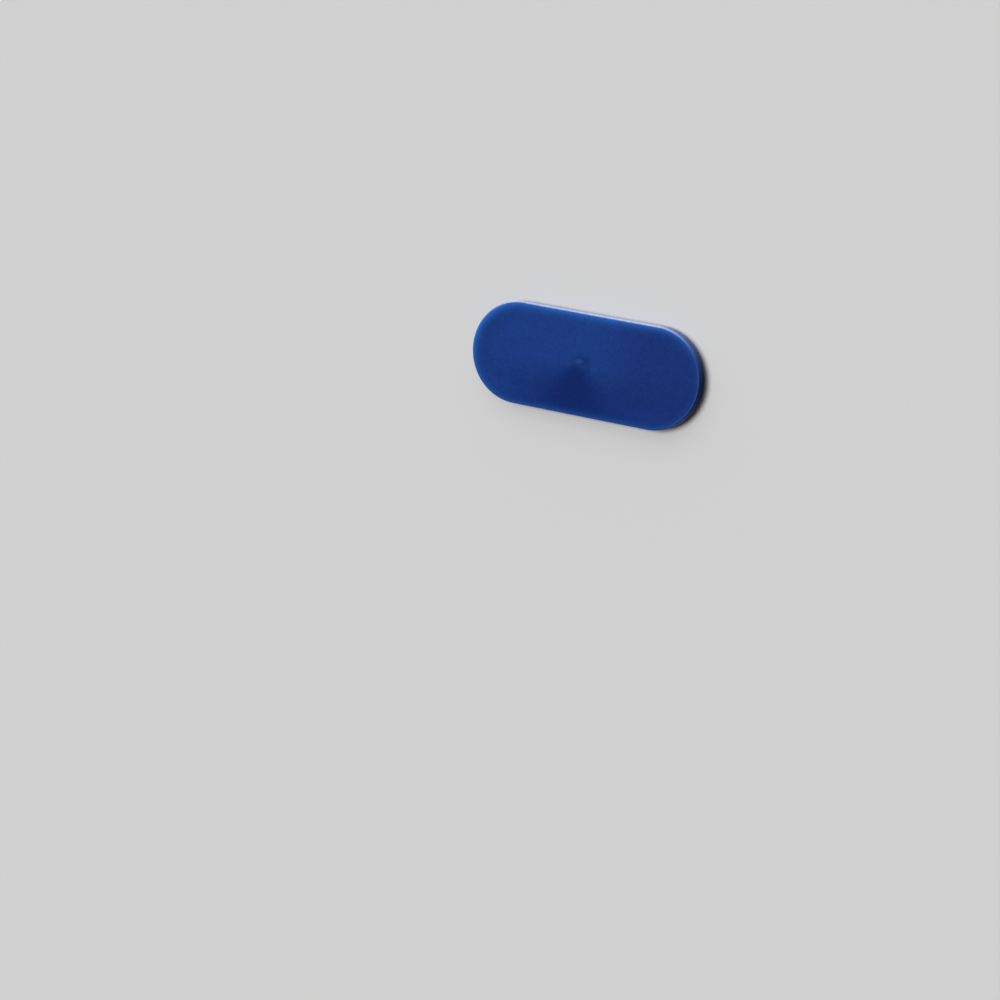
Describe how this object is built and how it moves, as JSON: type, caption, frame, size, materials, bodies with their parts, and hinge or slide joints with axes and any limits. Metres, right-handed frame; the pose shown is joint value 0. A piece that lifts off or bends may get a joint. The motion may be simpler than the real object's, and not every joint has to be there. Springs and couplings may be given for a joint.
{
  "type": "webcam cover slider",
  "caption": "Thin round-ended cap that slides sideways along a stick-on base plate to uncover or close a round camera window.",
  "frame": {"origin": "centre of the closed cover's outline, on the plane of the adhesive face", "axes": "+X along the slider, the way the cover opens; +Y across it, up on a standing screen; +Z out of the front"},
  "size_m": [0.027, 0.011, 0.0016],
  "materials": {
    "cover_plastic": "moulded ABS, royal blue, satin",
    "base_plastic": "moulded ABS, royal blue, fine matt",
    "foam_tape": "double-sided acrylic foam tape, off-white"
  },
  "bodies": {
    "base": {"base_plate": "base_plastic", "adhesive_pad": "foam_tape"},
    "cover": {"sliding_cover": "cover_plastic"}
  },
  "joints": [
    {"name": "cover_slide", "type": "slide", "parent": "base", "child": "cover", "axis": [1, 0, 0], "range_m": [0, 0.009]}
  ]
}
